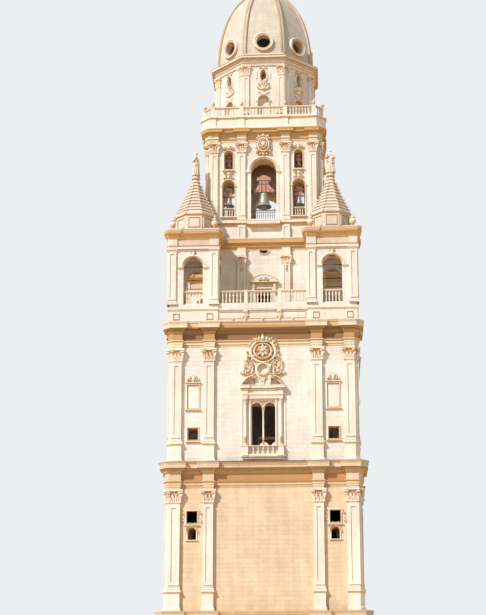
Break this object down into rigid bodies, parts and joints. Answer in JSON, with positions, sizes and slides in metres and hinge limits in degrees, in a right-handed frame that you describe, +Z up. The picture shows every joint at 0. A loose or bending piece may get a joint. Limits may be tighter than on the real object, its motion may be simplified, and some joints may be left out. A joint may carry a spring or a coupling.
{
  "type": "bell tower, scale model 1:10",
  "caption": "1:10 scale model of a square stone bell tower with pilastered storeys, corner pavilions with spires, an arched belfry with turning bells, and an octagonal drum, dome and lantern.",
  "frame": {"origin": "centre of the tower's foot, on the ground", "axes": "+Z up, the front faces -Y, +X to the right of the front"},
  "size_m": [2.096, 2.096, 9.305],
  "materials": {
    "wall_stone": "ashlar",
    "trim_stone": "carved",
    "roof_stone": "carved",
    "dome_stone": "weathered",
    "door_timber": "oiled",
    "yoke_timber": "painted",
    "bell_bronze": "aged",
    "iron": "forged"
  },
  "bodies": {
    "tower": {"stage1_walls": "wall_stone", "stage2_walls": "wall_stone", "lower_window_frames": "trim_stone", "door_leaves": "door_timber", "stage1_pilasters": "trim_stone", "stage1_entablature": "trim_stone", "stage2_pilasters": "trim_stone", "stage2_entablature": "trim_stone", "stage3_pilasters": "trim_stone", "stage3_entablature": "trim_stone", "stage3_front_wall": "wall_stone", "stage3_back_wall": "wall_stone", "stage3_right_wall": "wall_stone", "stage3_left_wall": "wall_stone", "two_light_windows": "trim_stone", "window_surrounds": "trim_stone", "stage3_window_frames": "trim_stone", "terrace": "wall_stone", "terrace_balustrades": "trim_stone", "front_right_pavilion": "wall_stone", "back_right_pavilion": "wall_stone", "back_left_pavilion": "wall_stone", "front_left_pavilion": "wall_stone", "pavilion_roofs": "roof_stone", "pavilion_balustrades": "trim_stone", "urns": "trim_stone", "statues": "trim_stone", "core_walls": "wall_stone", "belfry_floor": "wall_stone", "belfry_front_wall": "wall_stone", "belfry_back_wall": "wall_stone", "belfry_right_wall": "wall_stone", "belfry_left_wall": "wall_stone", "belfry_pilasters": "trim_stone", "belfry_entablature": "trim_stone", "belfry_railings": "iron", "belfry_balustrades": "trim_stone", "bell_bearings": "iron", "roof_deck": "wall_stone", "top_balustrade": "trim_stone", "drum_walls": "wall_stone", "drum_pilasters": "trim_stone", "drum_entablature": "trim_stone", "dome": "dome_stone", "dome_ribs": "dome_stone", "lantern": "trim_stone", "lantern_cupola": "roof_stone", "finial": "iron"},
    "great_bell": {"great_bell": "bell_bronze", "great_yoke": "yoke_timber"},
    "left_bell": {"left_bell": "bell_bronze", "left_yoke": "yoke_timber"},
    "right_bell": {"right_bell": "bell_bronze", "right_yoke": "yoke_timber"},
    "upper_left_bell": {"upper_left_bell": "bell_bronze", "upper_left_yoke": "yoke_timber"},
    "upper_right_bell": {"upper_right_bell": "bell_bronze", "upper_right_yoke": "yoke_timber"}
  },
  "joints": [
    {"name": "great_bell_turn", "type": "hinge", "parent": "tower", "child": "great_bell", "pos_m": [0, -0.5175, 6.01], "axis": [1, 0, 0], "continuous": true},
    {"name": "left_bell_turn", "type": "hinge", "parent": "tower", "child": "left_bell", "pos_m": [-0.37, -0.5175, 5.955], "axis": [1, 0, 0], "continuous": true},
    {"name": "right_bell_turn", "type": "hinge", "parent": "tower", "child": "right_bell", "pos_m": [0.37, -0.5175, 5.955], "axis": [1, 0, 0], "continuous": true},
    {"name": "upper_left_bell_turn", "type": "hinge", "parent": "tower", "child": "upper_left_bell", "pos_m": [-0.37, -0.5175, 6.355], "axis": [1, 0, 0], "continuous": true},
    {"name": "upper_right_bell_turn", "type": "hinge", "parent": "tower", "child": "upper_right_bell", "pos_m": [0.37, -0.5175, 6.355], "axis": [1, 0, 0], "continuous": true}
  ]
}
